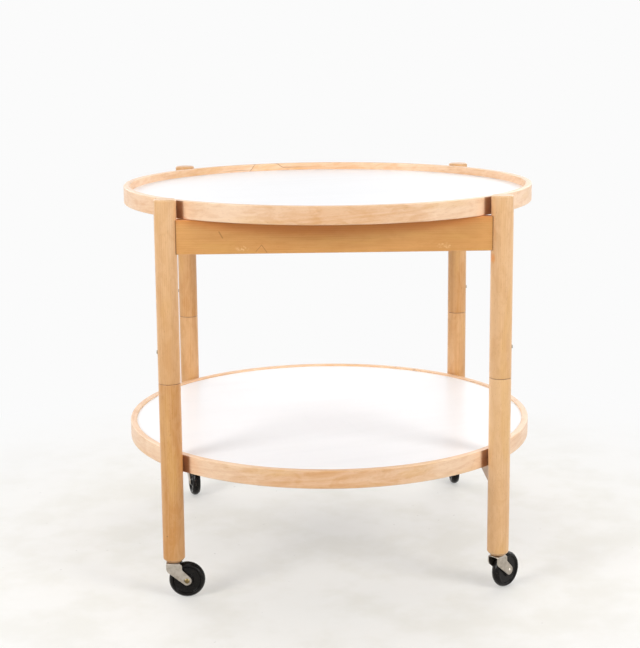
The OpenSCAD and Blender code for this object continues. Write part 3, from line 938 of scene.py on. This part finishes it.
# %% Press the forks
def pressed_fork(trail):
    """The fork as a grid: the folded line runs down the rows and the strip's section across them.

    The folded line in (y, z) is a cheek, a quarter turn of the fold radius, the bridge, a quarter
    turn and the other cheek, with n its unit normal. A point of the section lies at its end's x
    plus its share of the eased edge, and at the line's point plus its height times n."""
    middle = FORK_GAP / 2 + FORK_SHEET / 2
    roof = FORK_TOP - FORK_SHEET / 2
    low = WHEEL_RADIUS - END_RADIUS
    swing = np.linspace(-math.pi / 2, math.radians(75), 18)
    foot = WHEEL_RADIUS + END_RADIUS * np.sin(swing)
    wall = np.concatenate([foot, np.linspace(foot[-1], roof - FOLD_RADIUS, 16)[1:]])
    turn = np.linspace(0, math.pi / 2, 9)[1:]
    y = np.concatenate([np.full(len(wall), middle), middle - FOLD_RADIUS * (1 - np.cos(turn))])
    z = np.concatenate([wall, roof - FOLD_RADIUS * (1 - np.sin(turn))])
    normal = np.concatenate([np.zeros(len(wall)), turn])
    front, back = cheek_reach(z, trail)
    fold = np.clip((z - (roof - 2 * FOLD_RADIUS)) / (2 * FOLD_RADIUS), 0, 1)
    fold = fold * fold * (3 - 2 * fold)
    back = back + (BRIDGE_BACK - back) * fold
    level = np.linspace(y[-1], -y[-1], 10)[1:-1]

    def folded(cheek, bridge, other):
        """A column of values along one cheek, the bridge and the other cheek."""
        return np.concatenate([cheek, np.full(len(level), bridge), other[::-1]])[:, None]

    y, z = folded(y, level, -y), folded(z, roof, z)
    normal = folded(normal, math.pi / 2, math.pi - normal)
    front, back = folded(front, front[-1], front), folded(back, back[-1], back)
    trim = np.minimum(CHEEK_EASE, np.maximum(back - front, NO_WIDTH) / 2)
    at_back, inset, lift = FORK_SECTION.T
    x = np.where(at_back > 0, back, front) + inset * trim
    lift = lift * FORK_SHEET / 2
    return grid(x, y + lift * np.cos(normal), z + lift * np.sin(normal))


for c in CORNERS:
    points = under_leg(pressed_fork(caster_turn(c)[1]), c)
    fork = surface("caster_fork_pressed_" + c, points, edge=0, sharp_deg=40)
    stand_for(fork, "caster_fork_" + c, zinc_finish)

# %% [markdown]
# ## The locking screws
# A small round head stands out of each leg's outer side a little above the joint. It is turned
# about a level axis, domed, and dished in the middle for the tool that turns it: a point (r, x)
# of its outline goes to (x, y + r cos t, z + r sin t) about the screw's own axis.

# %% Turn the screw heads
SCREW_RADIUS, SCREW_SHANK, SCREW_STAND = 0.003, 0.0018, 0.0013
SCREW_SUNK, SCREW_RIM = 0.0003, 0.0004
DOME_TOP, DISH_TOP, DISH_FLOOR, DISH_DEPTH = 0.0021, 0.0014, 0.0012, 0.0007
SCREW_EASE = [0, 0, 0, 0, 4e-4, 3e-4, 1e-4, 1e-4, 0]
for c in CORNERS:
    low, high = node_box("pivot_screw_" + c)
    outwards = math.copysign(1.0, leg_axis[c][0])
    tip = abs((low if outwards > 0 else high)[0])
    head = abs((high if outwards > 0 else low)[0])
    under, floor_of_dish = head - SCREW_STAND + SCREW_SUNK, head - DISH_DEPTH
    outline, edge = eased([
        (0.0, tip), (SCREW_SHANK, tip), (SCREW_SHANK, under), (SCREW_RADIUS, under),
        (SCREW_RADIUS, head - SCREW_RIM), (DOME_TOP, head), (DISH_TOP, head),
        (DISH_FLOOR, floor_of_dish), (0.0, floor_of_dish),
    ], SCREW_EASE)
    angle = full_turn(32)
    radius, x = outline.T
    y = leg_axis[c][1] + radius * np.cos(angle)
    z = node_centre("pivot_screw_" + c)[2] + radius * np.sin(angle)
    screw = surface("pivot_screw_domed_" + c, grid(outwards * x, y, z), edge, wrap_rows=True)
    stand_for(screw, "pivot_screw_" + c, screw_finish)

# %% [markdown]
# ## Nodes that keep their own shape
# The boards, the pins, the tenons and the casters' stems are right as they come, and each only
# needs its finish. Most of them are hidden in the wood.

# %% Dress the nodes that stay
tenon_finish = lacquered(
    *beech("plain_tenon_beech", "X", colour(222, 172, 116), colour(198, 142, 88))
)
board = Finish("pressed_board", Roughness=0.8)
chips = board.noise(board.scaled(board.place, 500, 500, 1500), detail=4)
core_finish = board.wear(
    Base_Color=board.mix(colour(186, 150, 108), colour(140, 104, 70), chips),
    Normal=board.bump(chips, 0.3, 0.0003),
)
KEPT = {
    "laminate": laminate_finish, "core": core_finish, "tenon": tenon_finish,
    "pivot_pin": steel_finish, "sleeve": zinc_finish, "stem": steel_finish,
}
plain = []
for node, shape in frame["nodes"].items():
    finish = next((m for word, m in KEPT.items() if word in node), None)
    if finish and not shape.hide_render:
        shape.data.materials.clear()
        shape.data.materials.append(finish)
    elif not shape.hide_render:
        plain.append(node)
print("nodes without a finish:", plain)

# %% [markdown]
# ## Floor, background and light
# The table stands in a pale studio. The floor is a wide disc that keeps the table's shadow, and
# towards its rim it fades into the white that the world shows to the camera and in reflections.
# White that is only shown adds no light, and the light that the floor throws back up is held low,
# so that the wood keeps its shadows. The light itself is a sky that is brighter near the horizon,
# to reach the lower tray as well, and darker on the camera's side. Two lamps at the front corners
# throw the legs' and the upper rim's shadows, two wide ones behind reach both trays from low down,
# and one overhead fills the top.

# %% Lay the floor
FLOOR_RADIUS, FLOOR_POINTS = 6.3, 128
BACKGROUND_WHITE = 0.965
angle = full_turn(FLOOR_POINTS)
ring = np.hstack([FLOOR_RADIUS * np.cos(angle), FLOOR_RADIUS * np.sin(angle), 0 * angle])
floor_mesh = bpy.data.meshes.new("floor")
floor_mesh.from_pydata(ring, [], [list(range(FLOOR_POINTS))])
floor = placed("floor", floor_mesh)
ground = Finish("pale_floor", Roughness=0.6)
mottle = ground.ease(ground.noise(ground.place, scale=7.0, detail=5, roughness=0.6), 0.40, 0.66)
grit = ground.ease(ground.noise(ground.place, scale=75, detail=1), 0.77, 0.80)
x, y, _ = ground.axes(ground.place)
away = (x * x + y * y) ** 0.5
shown = ground.shown()
swept = ground.mix(colour(247, 244, 237), colour(235, 231, 219), mottle)
swept = ground.mix(swept, colour(168, 162, 150), 0.5 * grit)
lit = ground.mix(colour(160, 156, 150), swept, shown)
ground.wear(Base_Color=lit)
glow = ground.node("Emission", Color=(1, 1, 1, 1), Strength=BACKGROUND_WHITE)
faded = 0.34 + 0.66 * ground.ease(away, 0.30, 1.05)
paint = Wire(ground.tree, ground.shader.outputs[0])
blend = ground.node("MixShader", n0=shown * faded, n1=paint, n2=glow)
feed(ground.tree, ground.tree.nodes["Material Output"].inputs["Surface"], blend)
floor_mesh.materials.append(ground.material)
print("floor", 2 * FLOOR_RADIUS, "m across")

# %% Light the room
SKY_LIGHT = 0.50
world = bpy.data.worlds.new("studio")
bpy.context.scene.world = world
world.use_nodes = True
world.node_tree.nodes.clear()
sky = Nodes(world.node_tree)
_, inwards, rise = sky.axes(sky.node("TexCoord", out="Generated"))
overhead_dimmed = 1 - 0.65 * sky.ease(rise, 0.70, 0.92)
front_dimmed = 1 - 0.75 * sky.ease(0 - inwards, 0.0, 0.8)
band = overhead_dimmed * front_dimmed
light = sky.node("Background", Color=(0.99, 0.99, 0.99, 1), Strength=SKY_LIGHT * band)
seen = sky.node("Background", Color=(1, 1, 1, 1), Strength=BACKGROUND_WHITE)
blend = sky.node("MixShader", n0=sky.shown(), n1=light, n2=seen)
feed(sky.tree, sky.tree.nodes.new("ShaderNodeOutputWorld").inputs["Surface"], blend)

# %% Place the lamps
MIDDLE = np.array([0.0, 0.0, 0.4])


def lamp(name, azimuth, elevation, distance, size, level):
    """A round lamp that adds level to a white surface that faces it in the middle of the table.

    The azimuth is counted from the front to the right, in degrees. A lamp of power P lights such a
    surface to P / (pi d)^2 at the distance d."""
    data = bpy.data.lights.new(name, "AREA")
    data.shape = "DISK"
    data.size = size
    data.energy = level * (math.pi * distance) ** 2
    turn, rise = math.radians(azimuth), math.radians(elevation)
    back = np.array([
        math.sin(turn) * math.cos(rise), -math.cos(turn) * math.cos(rise), math.sin(rise)
    ])
    right = np.array([math.cos(turn), math.sin(turn), 0.0])
    axes = Matrix(np.stack([right, np.cross(back, right), back], axis=1).tolist())
    placed(name, data).matrix_world = Matrix.Translation(MIDDLE + distance * back) @ axes.to_4x4()
    print(name, round(data.energy, 1), "W")


lamp("key_left", -50, 19, 3.2, 1.5, 0.60)
lamp("key_right", 50, 19, 3.2, 1.5, 0.60)
lamp("behind_left", -146, 30, 3.4, 3.0, 0.33)
lamp("behind_right", 146, 30, 3.4, 3.0, 0.33)
lamp("overhead", 0, 86, 3.0, 2.0, 0.08)
